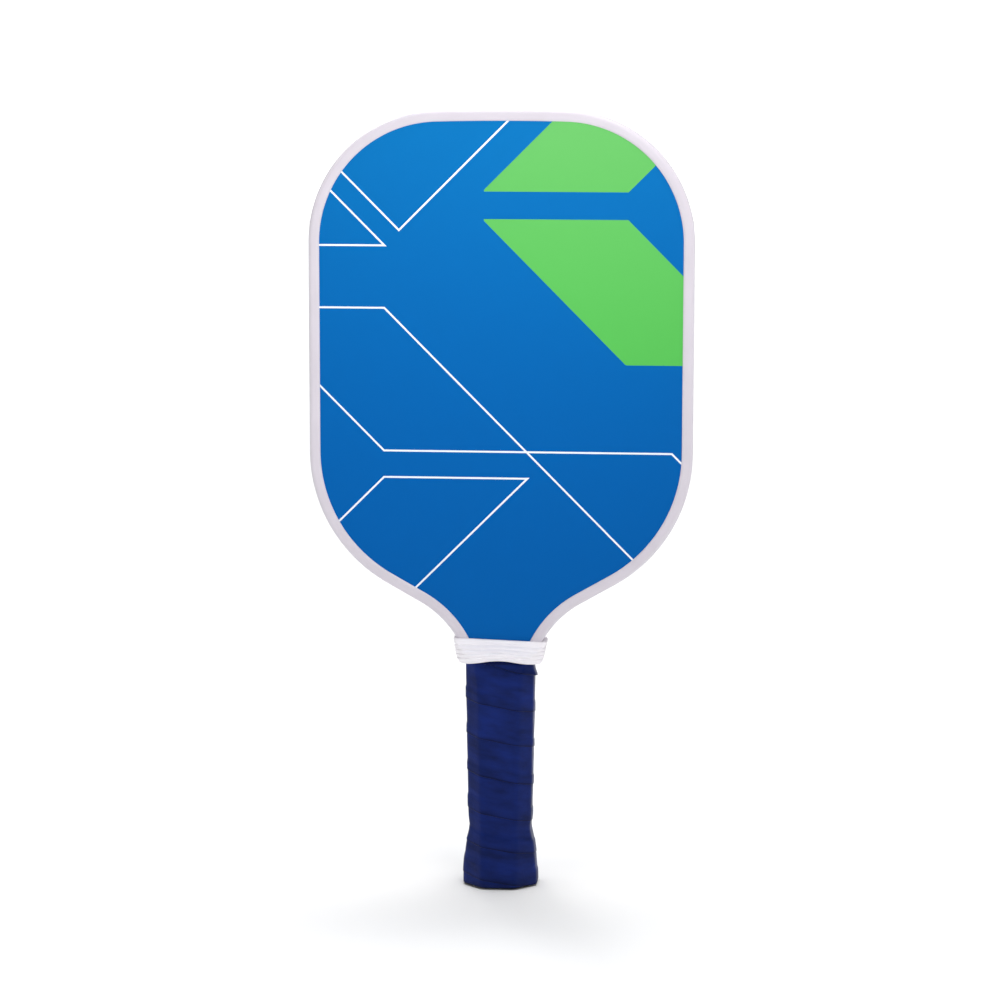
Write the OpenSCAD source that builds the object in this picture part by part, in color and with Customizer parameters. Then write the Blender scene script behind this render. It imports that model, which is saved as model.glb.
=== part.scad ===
// Pickleball paddle: a honeycomb-cored panel with bonded skins and printed films, a moulded
// edge guard, and a handle of two pallets, a butt cap, a wound grip and a ribbed rubber collar.
// Z runs up the paddle from the flat bottom of the butt cap, X across the face, and the
// front face looks towards -Y.

/* [Overall] */
// Length from the butt to the top of the guard
paddle_len = 402; // [334:1:484]
// Width across the guard
head_w = 197.2; // [164:0.1:237]

/* [Head outline] */
// Radius of the shallow crown along the top edge
crown_r = 1200; // [700:10:2000]
// Radius of the two top corners
corner_r = 67; // [50:0.5:80]
// Radius of the two lower shoulders
shoulder_r = 78.4; // [62:0.1:94]
// How far each shoulder turns before its slanted flank starts
shoulder_turn = 60.4; // [52:0.1:66]
// Radius of the hollow curves that run into the handle
neck_r = 51.9; // [42:0.1:63]
// Height at which those curves meet the handle tongue
neck_z = 104.3; // [96:0.1:114]

/* [Panel layers] */
// Thickness of the honeycomb core
core_t = 12.4; // [9:0.1:15.4]
// Honeycomb cell size, flat to flat
cell_size = 10; // [8:0.1:14]
// Thickness of the cell walls
cell_wall = 0.5; // [0.4:0.05:1]
// Thickness of each adhesive film
bond_t = 0.15; // [0.1:0.01:0.3]
// Thickness of each fibreglass face sheet
sheet_t = 0.5; // [0.3:0.05:0.8]
// Thickness of each printed film
print_t = 0.15; // [0.1:0.01:0.3]

/* [Edge guard] */
// Thickness of the guard's outer web
guard_web = 1; // [0.8:0.1:1.6]
// Thickness of the guard's two lips
guard_lip_t = 0.8; // [0.6:0.1:1.2]
// How far the lips reach in over the faces, from the outer edge
guard_lip_w = 5.7; // [4:0.1:8]
// Thickness of the foam tape between the guard and the panel edge
guard_tape_t = 0.4; // [0.2:0.05:0.8]

/* [Handle] */
// Width of the panel's tongue
tongue_w = 28; // [24:0.1:30]
// Width of the tongue where it enters the butt cap
tongue_tip_w = 24.8; // [20:0.1:25.4]
// Width across the pallets at the butt cap
pallet_w_low = 29.6; // [28:0.1:35]
// Width across the pallets at the top
pallet_w_top = 32.4; // [30:0.1:39]
// Depth over both pallets
pallet_d = 26.6; // [23:0.1:32]
// Corner chamfer of the pallets
pallet_chamfer = 6.5; // [4:0.1:7]
// Thickness of the tape between each pallet and the tongue
pallet_tape_t = 0.2; // [0.1:0.05:0.4]

/* [Butt cap] */
// Height of the butt cap
cap_h = 28; // [23:0.5:34]
// Width across the cap at its widest
cap_w = 35.6; // [33:0.1:42]
// Depth across the cap at its deepest
cap_d = 31.6; // [30:0.1:38]
// Chamfer of the cap's octagon at its widest
cap_chamfer = 9.8; // [6:0.1:11]
// Wall thickness at the cap's rim
cap_rim_t = 1.5; // [1:0.1:2]
// Thickness of the cap's floor
cap_floor_t = 3; // [2:0.1:5]
// Diameter of the round plug in the bottom of the cap
plug_d = 18; // [12:0.5:22]
// Thickness of that plug
plug_t = 1.4; // [1:0.1:1.8]

/* [Grip and collar] */
// Thickness of the wound grip
grip_t = 1.7; // [1.2:0.1:2.2]
// Height of the grip's lower edge above the bottom of the cap
grip_foot = 0.8; // [0.4:0.1:2]
// Thickness of the finishing tape
finish_tape_t = 0.3; // [0.15:0.05:0.5]
// Height of the collar's lower edge
collar_z = 117.4; // [112:0.1:124]
// Height of the collar
collar_h = 12.8; // [10:0.1:18]
// Wall thickness of the collar
collar_t = 2.3; // [1.6:0.1:3]

/* [Hidden] */
$fn = 96;
fine_fn = 720;      // facets of the very large crown circle
cell_rim = 2;       // closed rim between the cells and the panel's edge
far = 600;          // longer than anything that a cutter has to clear
overlap = 10;       // how far solids that are united run into each other
clear = 0.05;       // clearance between bonded pieces that don't carry on one surface

// Outline of the guard's outer edge, right half
half_w = head_w / 2;
guard_gap = guard_web + guard_tape_t;              // from the outer edge to the panel
neck_x = tongue_w / 2 + guard_gap;
flank_run = half_w - neck_x - (shoulder_r + neck_r) * (1 - cos(shoulder_turn));
flank_len = flank_run / sin(shoulder_turn);
neck_c = [neck_x + neck_r, neck_z];
flank_low = neck_c + neck_r * [-cos(shoulder_turn), sin(shoulder_turn)];
flank_high = flank_low + flank_len * [sin(shoulder_turn), cos(shoulder_turn)];
shoulder_c = flank_high + shoulder_r * [-cos(shoulder_turn), sin(shoulder_turn)];
crown_c = [0, paddle_len - crown_r];
corner_x = half_w - corner_r;
corner_c = [corner_x, crown_c[1] + sqrt(pow(crown_r - corner_r, 2) - pow(corner_x, 2))];
crown_turn = asin(corner_x / (crown_r - corner_r)); // where the crown runs into the corner

// Layer heights, from the middle of the core outwards
core_y = core_t / 2;
bond_y = core_y + bond_t;
sheet_y = bond_y + sheet_t;
print_y = sheet_y + print_t;
guard_y = print_y + guard_lip_t;
pallet_y = sheet_y + pallet_tape_t;

// Fits along the handle
tongue_gap = 1;        // from the cap's floor to the tip of the tongue
pallet_rise = 4.6;     // how far the pallets reach up inside the collar
pallet_bevel_h = 16;   // height over which the pallets thin towards the face
pallet_nose_t = 3.5;   // thickness of each pallet at its bevelled top
pallet_nose_flare = 0.4; // how much wider the pallets get along that bevel
pallet_nose_chamfer = 4;
film_gap = 1;          // from the pallets' tops to the printed films and the guard's ends
grip_rise = 3.6;       // how far the grip reaches up inside the collar
last_turn_drop = 5.4;  // how far the doubled last turn shows below the collar
tape_rise = 0.8;       // from the collar's lower edge to the finishing tape

// Handle stations
cap_rim_z = cap_h;
cap_widest_z = 5;
tongue_tip_z = cap_floor_t + tongue_gap;
pallet_top_z = collar_z + pallet_rise;
pallet_bevel_z = pallet_top_z - pallet_bevel_h;
pallet_top_d = 2 * (pallet_y + pallet_nose_t);
print_low_z = pallet_top_z + film_gap;
guard_end_z = print_low_z;
grip_top_z = collar_z + grip_rise;
last_turn_z = collar_z - last_turn_drop;
collar_top_z = collar_z + collar_h;
oct_grow = 2 - sqrt(2);                // how fast a chamfer grows as an octagon is offset

// Plug and staples in the butt cap
plug_set_in = 0.2;                     // how far the plug sits above the cap's bottom
plug_rim_w = 2.5;
plug_rim_h = 0.3;                      // how far the plug's rim stands below its middle
staple_z = cap_h * 0.68;
staple_w = 9;
staple_wire = 1;
staple_leg = 5;
staple_bed = 0.4;                      // wall left between the pallets and a staple's crown
staple_sink = 0.2;                     // how deep a leg's root runs into the crown

// Section of the collar: its rolled lower edge, its swell over the grip's end, its corners
collar_lip_t = 0.7;
collar_lip_h = 2;
collar_swell = 0.3;
collar_chamfer = 0.1;                  // small, so that the guard's square corners fit inside

// Octagon sections [height, width, depth, chamfer], bottom to top
pallet_sections = [
    [cap_rim_z, pallet_w_low, pallet_d, pallet_chamfer],
    [pallet_bevel_z, pallet_w_top, pallet_d, pallet_chamfer],
    [pallet_top_z, pallet_w_top + pallet_nose_flare, pallet_top_d, pallet_nose_chamfer]
];
socket_w = pallet_w_low - 2 * cap_rim_t;
socket_d = pallet_d - 2 * cap_rim_t;
socket_chamfer = pallet_chamfer - oct_grow * cap_rim_t;
staple_y = socket_d / 2 + staple_bed;  // inner side of each staple's crown
pallet_foot_sections = [
    [cap_floor_t, socket_w, socket_d, socket_chamfer],
    [cap_rim_z + overlap, socket_w, socket_d, socket_chamfer]
];
// Part of the flare reached at a height: 0 at the rim, 1 at the widest point
flare_steps = [[0, 0.96], [cap_widest_z, 1], [cap_h * 0.5, 0.78], [cap_h * 0.84, 0.38], [cap_h, 0]];
cap_sections = [
    for (s = flare_steps) [
        s[0],
        pallet_w_low + s[1] * (cap_w - pallet_w_low),
        pallet_d + s[1] * (cap_d - pallet_d),
        pallet_chamfer + s[1] * (cap_chamfer - pallet_chamfer)
    ]
];

// The octagon section offset outwards by t
function grown(s, t) = [s[0], s[1] + 2 * t, s[2] + 2 * t, s[3] + oct_grow * t];
// The section moved to height z
function raised(s, z) = [z, s[1], s[2], s[3]];
// The section at height z between two sections
function between(a, b, z) = a + (b - a) * (z - a[0]) / (b[0] - a[0]);
// The pallets' own section at height z
function pallet_at(z) = z < pallet_bevel_z
    ? between(pallet_sections[0], pallet_sections[1], z)
    : between(pallet_sections[1], pallet_sections[2], z);
// Half width of the outline at height z, offset outwards by d
function half_at(z, d) =
    z > corner_c[1] + (corner_r + d) * cos(crown_turn)
        ? sqrt(max(0, pow(crown_r + d, 2) - pow(z - crown_c[1], 2))) :
    z > corner_c[1] ? corner_c[0] + sqrt(pow(corner_r + d, 2) - pow(z - corner_c[1], 2)) :
    z > shoulder_c[1] ? half_w + d :
    z > flank_high[1] - d * sin(shoulder_turn)
        ? shoulder_c[0] + sqrt(pow(shoulder_r + d, 2) - pow(z - shoulder_c[1], 2)) :
    z > flank_low[1] - d * sin(shoulder_turn)
        ? flank_low[0] + d / cos(shoulder_turn) + (z - flank_low[1]) * tan(shoulder_turn) :
    z > neck_z ? neck_c[0] - sqrt(pow(neck_r - d, 2) - pow(z - neck_z, 2)) :
    tongue_w / 2;

// A 2-D shape in the X-Z plane, extruded from y0 to y1
module layer(y0, y1) {
    translate([0, y1, 0]) rotate([90, 0, 0]) linear_extrude(y1 - y0) children();
}

// A disc in the X-Z plane with its axis along Y
module disc(centre, r, y0, y1, facets = $fn) {
    translate([centre[0], y1, centre[1]]) rotate([90, 0, 0]) cylinder(h = y1 - y0, r = r, $fn = facets);
}

// Points of the outline's right side, from the top down, offset outwards by d
function flank_points(d) = [
    crown_c + (crown_r + d) * [sin(crown_turn), cos(crown_turn)],
    corner_c + [corner_r + d, 0],
    shoulder_c + [shoulder_r + d, 0],
    flank_high + d * [cos(shoulder_turn), -sin(shoulder_turn)],
    flank_low + d * [cos(shoulder_turn), -sin(shoulder_turn)],
    [neck_x + d, neck_z]
];
function mirrored(points) = [for (i = [len(points) - 1:-1:0]) [-points[i][0], points[i][1]]];

// The head down to the neck as a plate from y0 to y1, offset outwards from the guard's edge by d
module head_plate(d, y0, y1) {
    right = flank_points(d);
    difference() {
        union() {
            layer(y0, y1) polygon(concat(right, mirrored(right)));
            intersection() {
                disc(crown_c, crown_r + d, y0, y1, fine_fn);
                translate([-right[0][0], y0 - 1, right[1][1]])
                    cube([2 * right[0][0], y1 - y0 + 2, far]);
            }
            for (side = [-1, 1]) {
                disc([side * corner_c[0], corner_c[1]], corner_r + d, y0, y1);
                disc([side * shoulder_c[0], shoulder_c[1]], shoulder_r + d, y0, y1);
            }
        }
        for (side = [-1, 1]) disc([side * neck_c[0], neck_c[1]], neck_r - d, y0 - 1, y1 + 1);
    }
}

// The whole panel: the head and the tongue that runs down the handle
module panel_plate(y0, y1) {
    head_plate(-guard_gap, y0, y1);
    translate([-tongue_w / 2, y0, cap_rim_z])
        cube([tongue_w, y1 - y0, neck_z - cap_rim_z + overlap]);
    translate([-tongue_tip_w / 2, y0, tongue_tip_z])
        cube([tongue_tip_w, y1 - y0, cap_rim_z - tongue_tip_z + overlap]);
}

// Keeps only what lies above height z
module trim_below(z) {
    intersection() {
        union() children();
        translate([-far / 2, -far / 2, z]) cube(far);
    }
}

// Corners of an octagon section, anticlockwise seen from above
function octagon_points(s) = let (x = s[1] / 2, y = s[2] / 2, c = s[3]) [
    [x, y - c], [x - c, y], [c - x, y], [-x, y - c],
    [-x, c - y], [c - x, -y], [x - c, -y], [x, c - y]
];

// Solid that follows octagon sections from bottom to top, with flat sides between them
module octagon_loft(sections) {
    top = len(sections) - 1;
    polyhedron(
        points = [for (s = sections, p = octagon_points(s)) [p[0], p[1], s[0]]],
        faces = concat(
            [[for (k = [0:7]) k], [for (k = [7:-1:0]) top * 8 + k]],
            [for (i = [0:top - 1], k = [0:7]) let (low = i * 8, high = low + 8, next = (k + 1) % 8)
                [low + k, high + k, high + next, low + next]]
        )
    );
}

/* ---- Panel ---- */

// Points along an arc, from angle a0 to angle a1
function arc_points(c, r, a0, a1, steps) =
    [for (i = [0:steps]) c + r * [cos(a0 + (a1 - a0) * i / steps), sin(a0 + (a1 - a0) * i / steps)]];

// The panel's right edge as one run of points, for the core that is cut from sheet
function panel_points() = concat(
    arc_points(crown_c, crown_r - guard_gap, 90, 90 - crown_turn, 6),
    arc_points(corner_c, corner_r - guard_gap, 90 - crown_turn, 0, 24),
    arc_points(shoulder_c, shoulder_r - guard_gap, 0, -shoulder_turn, 18),
    arc_points(neck_c, neck_r + guard_gap, 180 - shoulder_turn, 180, 14),
    [
        [tongue_w / 2, cap_rim_z], [tongue_tip_w / 2, cap_rim_z],
        [tongue_tip_w / 2, tongue_tip_z]
    ]
);

// Half the width that a row of cells at height z may fill, inside a closed rim
function row_room(z, reach) = z - reach < cap_rim_z + cell_rim
    ? tongue_tip_w / 2 - cell_rim
    : min(half_at(z - reach, -guard_gap), half_at(z + reach, -guard_gap)) - cell_rim;

// Hexagonal cells stand across the panel, point up, in staggered rows
module honeycomb_core() color("gainsboro") {
    right = panel_points();
    reach = (cell_size - cell_wall) / sqrt(3);
    pitch_z = cell_size * sqrt(3) / 2;
    low = tongue_tip_z + cell_rim + reach;
    high = paddle_len - guard_gap - cell_rim - reach;
    layer(-core_y, core_y) difference() {
        polygon(concat(right, mirrored(right)));
        for (row = [0:floor((high - low) / pitch_z)]) {
            z = low + row * pitch_z;
            shift = row % 2 * cell_size / 2;
            last = floor((row_room(z, reach) - (cell_size - cell_wall) / 2 - shift) / cell_size);
            if (last >= 0 || shift == 0)
                for (i = [-last - row % 2:last])
                    translate([i * cell_size + shift, z]) rotate(30) circle(reach, $fn = 6);
        }
    }
}

module bond_film(side) color("khaki") {
    low = side < 0 ? -bond_y : core_y;
    panel_plate(low, low + bond_t);
}

module face_sheet(side) color("slategray") {
    low = side < 0 ? -sheet_y : bond_y;
    panel_plate(low, low + sheet_t);
}

module printed_film(side) color([0.03, 0.41, 0.71]) {
    low = side < 0 ? -print_y : sheet_y;
    trim_below(print_low_z) head_plate(-guard_gap, low, low + print_t);
}

/* ---- Edge guard ---- */

// A U-shaped channel: one web round the edge and a lip over each face
module edge_guard() color([0.89, 0.86, 0.91]) {
    trim_below(guard_end_z) difference() {
        head_plate(0, -guard_y, guard_y);
        head_plate(-guard_web, -print_y, print_y);
        head_plate(-guard_lip_w, -guard_y - 1, guard_y + 1);
    }
}

module edge_guard_tape() color("dimgray") {
    trim_below(guard_end_z) difference() {
        head_plate(-guard_web, -core_y, core_y);
        head_plate(-guard_gap, -core_y - 1, core_y + 1);
    }
}

/* ---- Handle ---- */

// The pallets' shape before the panel's room is taken out of it
module pallet_body() {
    octagon_loft(pallet_sections);
    octagon_loft(pallet_foot_sections);
}

module pallet(side) color("burlywood") {
    difference() {
        pallet_body();
        translate([-far / 2, side < 0 ? -pallet_y : -far, -1]) cube([far, far + pallet_y, far]);
        staple_legs(clear);
    }
}

module pallet_tape(side) color("lightyellow") {
    low = side < 0 ? -pallet_y : sheet_y;
    translate([-tongue_tip_w / 2, low, tongue_tip_z])
        cube([tongue_tip_w, pallet_tape_t, pallet_top_z - tongue_tip_z - 1]);
}

/* ---- Butt cap ---- */

// Flared octagonal cup with a socket for the pallets and a recess for the plug
module butt_cap() color("black") {
    difference() {
        octagon_loft(cap_sections);
        translate([0, 0, cap_floor_t]) linear_extrude(far) polygon(octagon_points(pallet_foot_sections[0]));
        translate([0, 0, -1]) cylinder(h = 1 + plug_set_in + plug_t, d = plug_d + 2 * clear);
        staple_legs(clear);
        staple_grooves();
    }
}

// Plain round plug, set in a little so that the cap stands on its own rim
module butt_cap_plug() color("darkgray") {
    difference() {
        translate([0, 0, plug_set_in]) cylinder(h = plug_t, d = plug_d);
        translate([0, 0, -1]) cylinder(h = 1 + plug_set_in + plug_rim_h, d = plug_d - 2 * plug_rim_w);
    }
}

// The legs of the wire staples that pin the cap to both pallets
module staple_legs(room) {
    for (side = [-1, 1], end = [-1, 1])
        translate([end * (staple_w - staple_wire) / 2, side * (staple_y - staple_leg / 2), staple_z])
            cube([staple_wire + 2 * room, staple_leg + staple_sink, staple_wire + 2 * room], center = true);
}

// Grooves that the staples' crowns lie in, open outwards
module staple_grooves() {
    for (side = [-1, 1])
        translate([0, side * (staple_y + far / 2), staple_z])
            cube([staple_w + 2 * clear, far, staple_wire + 2 * clear], center = true);
}

module butt_cap_staples() color("silver") {
    staple_legs(0);
    for (side = [-1, 1])
        translate([0, side * (staple_y + staple_wire / 4), staple_z])
            cube([staple_w, staple_wire / 2, staple_wire], center = true);
}

/* ---- Grip and collar ---- */

// Everything the grip is wound over, offset outwards by t
module grip_former(t, low, high) {
    sections = concat(
        [for (s = cap_sections) if (s[0] < cap_rim_z) grown(s, t)],
        [for (s = pallet_sections) grown(s, t)]
    );
    intersection() {
        octagon_loft(sections);
        translate([-far / 2, -far / 2, low]) cube([far, far, high - low]);
    }
}

// A plain sleeve of the wound strip's outer shape, two turns thick at its top end
module grip_wrap() color([0.1, 0.14, 0.38]) {
    difference() {
        union() {
            grip_former(grip_t, grip_foot, grip_top_z);
            grip_former(2 * grip_t, last_turn_z, grip_top_z);
        }
        grip_former(0, -1, far);
    }
}

module grip_finishing_tape() color("midnightblue") {
    difference() {
        grip_former(2 * grip_t + finish_tape_t, collar_z + tape_rise, grip_top_z);
        grip_former(2 * grip_t, -1, far);
    }
}

// Ribbed rubber sleeve that closes the grip's end and the guard's ends
module grip_collar() color([0.95, 0.93, 0.96]) {
    room = 2 * grip_t + finish_tape_t + clear;
    foot = grown(pallet_at(collar_z), room);
    swell = grown(pallet_at(grip_top_z), room);
    top = [collar_top_z, 2 * half_at(collar_top_z, 0), 2 * guard_y, collar_chamfer];
    difference() {
        octagon_loft([
            raised(grown(foot, collar_lip_t), collar_z),
            raised(grown(foot, collar_t), collar_z + collar_lip_h),
            raised(grown(swell, collar_t + collar_swell), grip_top_z + clear),
            grown(top, collar_t)
        ]);
        octagon_loft([
            raised(foot, collar_z - clear),
            raised(swell, grip_top_z + clear),
            raised(grown(top, 2 * clear), collar_top_z + clear)
        ]);
    }
}

honeycomb_core();
bond_film(-1);  // front_bond_film
bond_film(1);  // back_bond_film
face_sheet(-1);  // front_face_sheet
face_sheet(1);  // back_face_sheet
printed_film(-1);  // front_printed_film
printed_film(1);  // back_printed_film
edge_guard();
edge_guard_tape();
pallet(-1);  // front_pallet
pallet(1);  // back_pallet
pallet_tape(-1);  // front_pallet_tape
pallet_tape(1);  // back_pallet_tape
butt_cap();
butt_cap_plug();
butt_cap_staples();
grip_wrap();
grip_finishing_tape();
grip_collar();
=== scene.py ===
"""A pickleball paddle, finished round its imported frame.

The paddle stands on its butt at the origin: Z runs up it, X across its face, and its front
looks towards -Y. Sizes are in millimetres until make_piece() turns a surface into a mesh.
"""

import math

import bpy
import numpy as np
from mathutils import Matrix, Vector


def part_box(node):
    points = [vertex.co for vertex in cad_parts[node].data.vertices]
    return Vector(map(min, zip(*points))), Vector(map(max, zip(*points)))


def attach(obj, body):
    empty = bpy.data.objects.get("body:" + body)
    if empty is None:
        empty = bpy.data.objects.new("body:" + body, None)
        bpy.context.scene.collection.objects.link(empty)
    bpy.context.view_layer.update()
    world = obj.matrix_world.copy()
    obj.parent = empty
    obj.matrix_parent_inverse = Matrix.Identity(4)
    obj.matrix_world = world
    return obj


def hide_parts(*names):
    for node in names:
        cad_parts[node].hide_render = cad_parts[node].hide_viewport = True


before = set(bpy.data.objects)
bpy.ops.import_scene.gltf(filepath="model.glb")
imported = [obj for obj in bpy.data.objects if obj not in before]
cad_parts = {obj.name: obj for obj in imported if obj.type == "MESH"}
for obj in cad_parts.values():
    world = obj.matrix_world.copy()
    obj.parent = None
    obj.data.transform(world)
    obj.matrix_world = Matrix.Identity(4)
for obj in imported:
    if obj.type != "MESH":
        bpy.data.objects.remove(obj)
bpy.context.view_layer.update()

MM = 0.001
BODY = "root"


def node_box(name):
    """Lowest and highest corner of a CAD node, in millimetres."""
    low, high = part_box(name)
    return np.array(low) / MM, np.array(high) / MM


# ---------------------------------------------------------------------------
# Meshes
# ---------------------------------------------------------------------------


def quads(rows, columns, closed_rows=False, closed_columns=False):
    """The quads of a grid of points that are numbered row by row."""
    i, j = np.meshgrid(
        np.arange(rows if closed_rows else rows - 1),
        np.arange(columns if closed_columns else columns - 1),
        indexing="ij",
    )
    i, j = i.ravel(), j.ravel()
    below, beside = (i + 1) % rows, (j + 1) % columns
    corners = [i * columns + j, below * columns + j, below * columns + beside, i * columns + beside]
    return np.stack(corners, axis=1).tolist()


def tube_faces(rings, around):
    """Faces of a closed section carried along a path: quads between rings, a polygon on each end."""
    last = (rings - 1) * around
    ends = [list(range(around))[::-1], list(range(last, last + around))]
    return quads(rings, around, closed_columns=True) + ends


def volume(points, faces):
    """Signed volume: a sixth of the sum of the triangles' triple products, fanned from each face."""
    fan = np.array([(f[0], f[k], f[k + 1]) for f in faces for k in range(1, len(f) - 1)])
    a, b, c = points[fan[:, 0]], points[fan[:, 1]], points[fan[:, 2]]
    return np.einsum("ij,ij->i", a, np.cross(b, c)).sum() / 6


def make_piece(name, points, faces, material, replaced=(), crease=35.0):
    """A closed mesh of points in millimetres, its faces turned outwards, riding on the paddle."""
    points = np.asarray(points, float).reshape(-1, 3)
    if volume(points, faces) < 0:
        faces = [face[::-1] for face in faces]
    mesh = bpy.data.meshes.new(name)
    mesh.from_pydata((points * MM).tolist(), [], faces)
    mesh.update()
    mesh.shade_smooth()
    mesh.set_sharp_from_angle(angle=math.radians(crease))
    mesh.materials.append(material)
    piece = bpy.data.objects.new(name, mesh)
    bpy.context.scene.collection.objects.link(piece)
    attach(piece, BODY)
    if replaced:
        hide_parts(*replaced)
    return piece


def smoothstep(t):
    """0 below 0, 1 above 1, and 3t^2 - 2t^3 between."""
    t = np.clip(t, 0.0, 1.0)
    return t * t * (3 - 2 * t)


# ---------------------------------------------------------------------------
# Materials
# ---------------------------------------------------------------------------


def colour(code):
    """Linear RGBA of an sRGB hex colour."""
    parts = [int(code[k : k + 2], 16) / 255 for k in (0, 2, 4)]
    return [p / 12.92 if p <= 0.04045 else ((p + 0.055) / 1.055) ** 2.4 for p in parts] + [1.0]


def per_mm(size):
    """Texture scale that makes one feature this many millimetres, on coordinates in metres."""
    return 1 / (size * MM)


def add(tree, kind, inputs, output=None, **settings):
    """Adds a node with its settings, sets or links its inputs by name or number, and gives the
    output that is asked for, or else the first one in use."""
    node = tree.nodes.new(kind)
    for name, value in settings.items():
        setattr(node, name, value)
    for name, value in inputs.items():
        if isinstance(value, bpy.types.NodeSocket):
            tree.links.new(value, node.inputs[name])
        else:
            node.inputs[name].default_value = value
    return node.outputs[output] if output else next(s for s in node.outputs if s.enabled)


def new_material(name, shader):
    """A material with one Principled shader set as given, its node tree, and its place output."""
    material = bpy.data.materials.new(name)
    material.use_nodes = True
    tree = material.node_tree
    for socket, value in shader.items():
        tree.nodes["Principled BSDF"].inputs[socket].default_value = value
    return material, tree, add(tree, "ShaderNodeTexCoord", {}, "Object")


def feed(tree, outputs):
    """Links outputs to the Principled shader's sockets."""
    for socket, output in outputs.items():
        tree.links.new(output, tree.nodes["Principled BSDF"].inputs[socket])


NOISE = "ShaderNodeTexNoise"
CELLS = "ShaderNodeTexVoronoi"
RANGE = "ShaderNodeMapRange"
BUMP = "ShaderNodeBump"
MATH = "ShaderNodeMath"
MIX = "ShaderNodeMix"
SHARE, FIRST, SECOND = 0, 6, 7         # the inputs of a Mix node that mixes colours
PAINTED_LIGHT_FOOT_Z = 130.0                       # millimetres up the paddle, where the inks' painted light starts to rise
PAINTED_LIGHT_TOP_Z = 400.0                        # and where it ends, lightest at the crown
PAINTED_LIGHT_POWER = 2.2                       # higher keeps more of the film at the darker colour, its painted shade


def printed_film(name, throat, crown):
    """Screen print under a matt lacquer on a polymer film. Its colour is painted light: darker at
    the throat and lighter towards the crown, in place of the lamps' fall-off down the paddle. The
    lacquer gives a broad soft sheen and an orange peel about 1 mm across, with a grit so fine that it
    is drawn at 0.35 mm."""
    shader = {"IOR": 1.5, "Roughness": 0.44, "Specular IOR Level": 0.04}
    material, tree, place = new_material(name, shader)
    cloud = add(tree, NOISE, {"Vector": place, "Scale": per_mm(45), "Detail": 2})
    peel = add(tree, NOISE, {"Vector": place, "Scale": per_mm(1.1), "Detail": 2})
    grit = add(tree, NOISE, {"Vector": place, "Scale": per_mm(0.35), "Detail": 1})
    # Painted light: the ink's colour lightens with height, in place of the lamps falling off from the
    # crown to the throat
    height = add(tree, "ShaderNodeSeparateXYZ", {"Vector": place}, "Z")
    rise = add(tree, RANGE, {"Value": height, "From Min": PAINTED_LIGHT_FOOT_Z * MM, "From Max": PAINTED_LIGHT_TOP_Z * MM})
    painted_light_ramp = add(tree, MATH, {0: rise, 1: PAINTED_LIGHT_POWER}, operation="POWER")
    speck = add(tree, RANGE, {"Value": grit, "To Min": -0.06, "To Max": 0.06})
    shade = add(tree, MATH, {0: painted_light_ramp, 1: speck}, operation="ADD")
    ink = {SHARE: shade, FIRST: colour(throat), SECOND: colour(crown)}
    fine = add(tree, BUMP, {"Height": grit, "Distance": 0.012 * MM})
    feed(tree, {
        "Base Color": add(tree, MIX, ink, data_type="RGBA"),
        "Roughness": add(tree, RANGE, {"Value": cloud, "To Min": 0.40, "To Max": 0.48}),
        "Normal": add(tree, BUMP, {"Height": peel, "Distance": 0.02 * MM, "Normal": fine}),
    })
    return material


def extruded_tpu():
    """Extruded thermoplastic polyurethane edge guard: satin and slightly milky, grained at
    0.4 mm, with draw marks about 30 mm long and handling scuffs 6 mm across."""
    shader = {"IOR": 1.49, "Roughness": 0.4, "Specular IOR Level": 0.35}
    material, tree, place = new_material("extruded TPU", shader)
    cloud = add(tree, NOISE, {"Vector": place, "Scale": per_mm(30), "Detail": 2})
    scuff = add(tree, NOISE, {"Vector": place, "Scale": per_mm(6), "Detail": 4, "Roughness": 0.6})
    grain = add(tree, NOISE, {"Vector": place, "Scale": per_mm(0.4), "Detail": 2})
    white = {SHARE: cloud, FIRST: colour("c6c0c9"), SECOND: colour("d2ccd5")}
    waves = add(tree, BUMP, {"Height": cloud, "Distance": 0.25 * MM})
    feed(tree, {
        "Base Color": add(tree, MIX, white, data_type="RGBA"),
        "Roughness": add(tree, RANGE, {"Value": scuff, "To Min": 0.32, "To Max": 0.5}),
        "Normal": add(tree, BUMP, {"Height": grain, "Distance": 0.015 * MM, "Normal": waves}),
    })
    return material


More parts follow.
